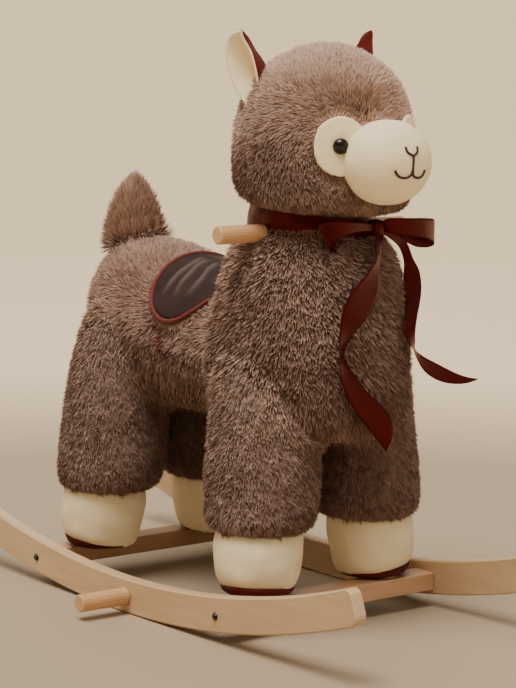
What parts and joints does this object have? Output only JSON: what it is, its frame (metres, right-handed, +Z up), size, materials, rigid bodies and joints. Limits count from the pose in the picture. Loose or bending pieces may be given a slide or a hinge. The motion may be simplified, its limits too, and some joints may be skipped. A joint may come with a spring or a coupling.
{
  "type": "plush rocking animal",
  "caption": "Plush ride-on rocking animal: a stuffed toy over a wooden frame on two curved rockers, with foot pegs, a hand bar, a padded seat patch and a ribbon bow.",
  "frame": {"origin": "on the floor, under the middle of the rockers and midway between them", "axes": "+X towards the animal's nose, +Y to its left, +Z up"},
  "size_m": [0.81, 0.448, 0.6573],
  "materials": {
    "plywood": "clear-lacquered birch plywood with eased, pale edges that show the plies",
    "bar_wood": "clear-lacquered solid wood, a little darker and redder than the rockers",
    "beech": "smooth sanded beech dowel",
    "black_steel": "black hex-socket bolt head",
    "zinc": "zinc-plated steel",
    "plush": "taupe-brown long-pile plush, matt, pile tips lighter than the roots",
    "cream_velour": "cream short-pile velour",
    "sole_felt": "dark red felt",
    "seat_velour": "grey-brown velour with soft radiating creases",
    "piping_cloth": "brick-red piping",
    "satin": "burgundy satin ribbon",
    "eye_plastic": "glossy black domed safety eye",
    "ear_velvet": "burgundy velvet outside, cream velour in the cup"
  },
  "bodies": {
    "root": {"rocker_right": "plywood", "rocker_left": "plywood", "front_crossbar": "bar_wood", "rear_crossbar": "bar_wood", "crossbar_bolt_front_right": "black_steel", "crossbar_bolt_front_left": "black_steel", "crossbar_bolt_rear_right": "black_steel", "crossbar_bolt_rear_left": "black_steel", "cross_nut_front_right": "zinc", "cross_nut_front_left": "zinc", "cross_nut_rear_right": "zinc", "cross_nut_rear_left": "zinc", "foot_peg_right": "beech", "foot_peg_left": "beech", "peg_screw_right": "zinc", "peg_screw_left": "zinc", "leg_post_front_right": "beech", "leg_post_front_left": "beech", "leg_post_rear_right": "beech", "leg_post_rear_left": "beech", "leg_screw_front_right": "zinc", "leg_screw_front_left": "zinc", "leg_screw_rear_right": "zinc", "leg_screw_rear_left": "zinc", "seat_board": "plywood", "neck_board": "plywood", "neck_screw_front": "zinc", "neck_screw_rear": "zinc", "handle_bar": "beech", "plush_body": "plush", "plush_neck": "plush", "plush_head": "plush", "plush_leg_front_right": "plush", "plush_leg_front_left": "plush", "plush_leg_rear_right": "plush", "plush_leg_rear_left": "plush", "foot_front_right": "cream_velour", "foot_front_left": "cream_velour", "foot_rear_right": "cream_velour", "foot_rear_left": "cream_velour", "sole_front_right": "sole_felt", "sole_front_left": "sole_felt", "sole_rear_right": "sole_felt", "sole_rear_left": "sole_felt", "tail": "plush", "muzzle": "cream_velour", "eye_patch_right": "cream_velour", "eye_patch_left": "cream_velour", "eye_right": "eye_plastic", "eye_left": "eye_plastic", "ear_right": "ear_velvet", "ear_left": "ear_velvet", "seat_patch": "seat_velour", "seat_piping": "piping_cloth", "ribbon_collar": "satin", "ribbon_bow": "satin", "ribbon_tail_right": "satin", "ribbon_tail_left": "satin"}
  },
  "joints": []
}
